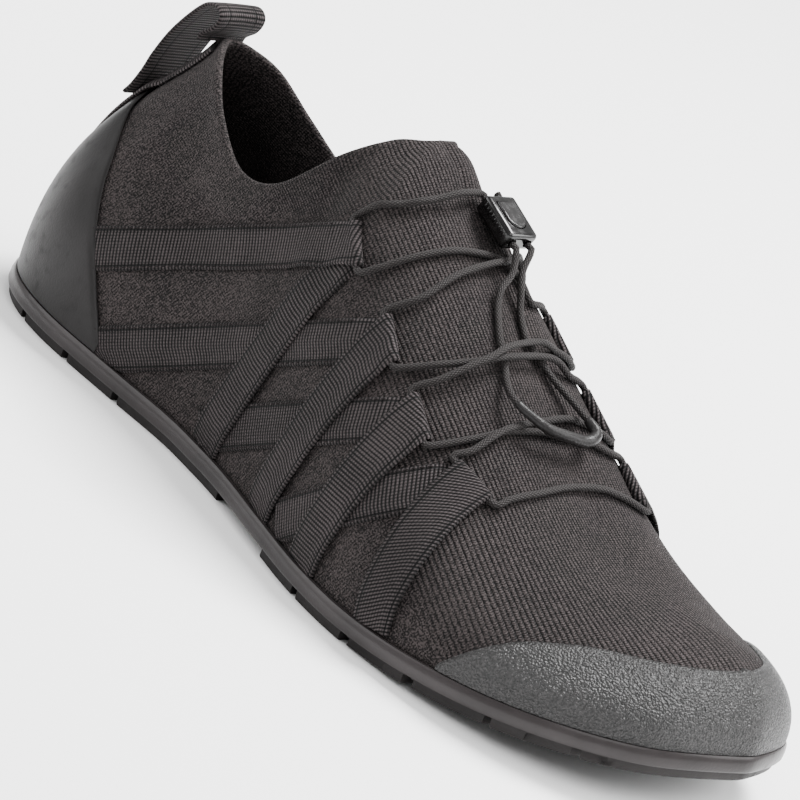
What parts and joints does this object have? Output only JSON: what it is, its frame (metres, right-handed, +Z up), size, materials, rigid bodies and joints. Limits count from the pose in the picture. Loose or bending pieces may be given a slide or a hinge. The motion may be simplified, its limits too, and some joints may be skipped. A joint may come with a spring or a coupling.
{
  "type": "barefoot shoe",
  "caption": "Low barefoot shoe for the right foot: knitted sock-like upper on a thin flexible sole, webbing bands and an elastic lace with a cord lock.",
  "frame": {"origin": "on the ground under the middle of the heel's tread", "axes": "+X from heel to toe, +Y to the inner (big toe) side of the right foot, +Z up"},
  "size_m": [0.2806, 0.1064, 0.1035],
  "materials": {
    "sole_rubber": "matt moulded rubber",
    "insole_foam": "cloth-covered foam",
    "knit": "ribbed knit",
    "toe_rubber": "sand-grained",
    "counter_rubber": "satin",
    "webbing": "ribbed woven webbing",
    "cord": "braided elastic",
    "grip_plastic": "soft satin",
    "lock_plastic": "glossy",
    "button_plastic": "glossy"
  },
  "bodies": {
    "root": {"outsole": "sole_rubber", "insole": "insole_foam", "upper": "knit", "toe_cap": "toe_rubber", "heel_counter": "counter_rubber", "band_lateral_1": "webbing", "band_lateral_2": "webbing", "band_lateral_3": "webbing", "band_lateral_4": "webbing", "band_medial_1": "webbing", "band_medial_2": "webbing", "band_medial_3": "webbing", "band_medial_4": "webbing", "pull_loop": "webbing", "lace_lead_lateral": "cord", "lace_lead_medial": "cord", "lace_cross_1": "cord", "lace_cross_2": "cord", "lace_cross_3": "cord", "lace_bar": "cord", "lock_housing": "lock_plastic", "lock_button": "button_plastic", "cord_end_long": "cord", "cord_end_short": "cord", "cord_end_grip": "grip_plastic"}
  },
  "joints": []
}
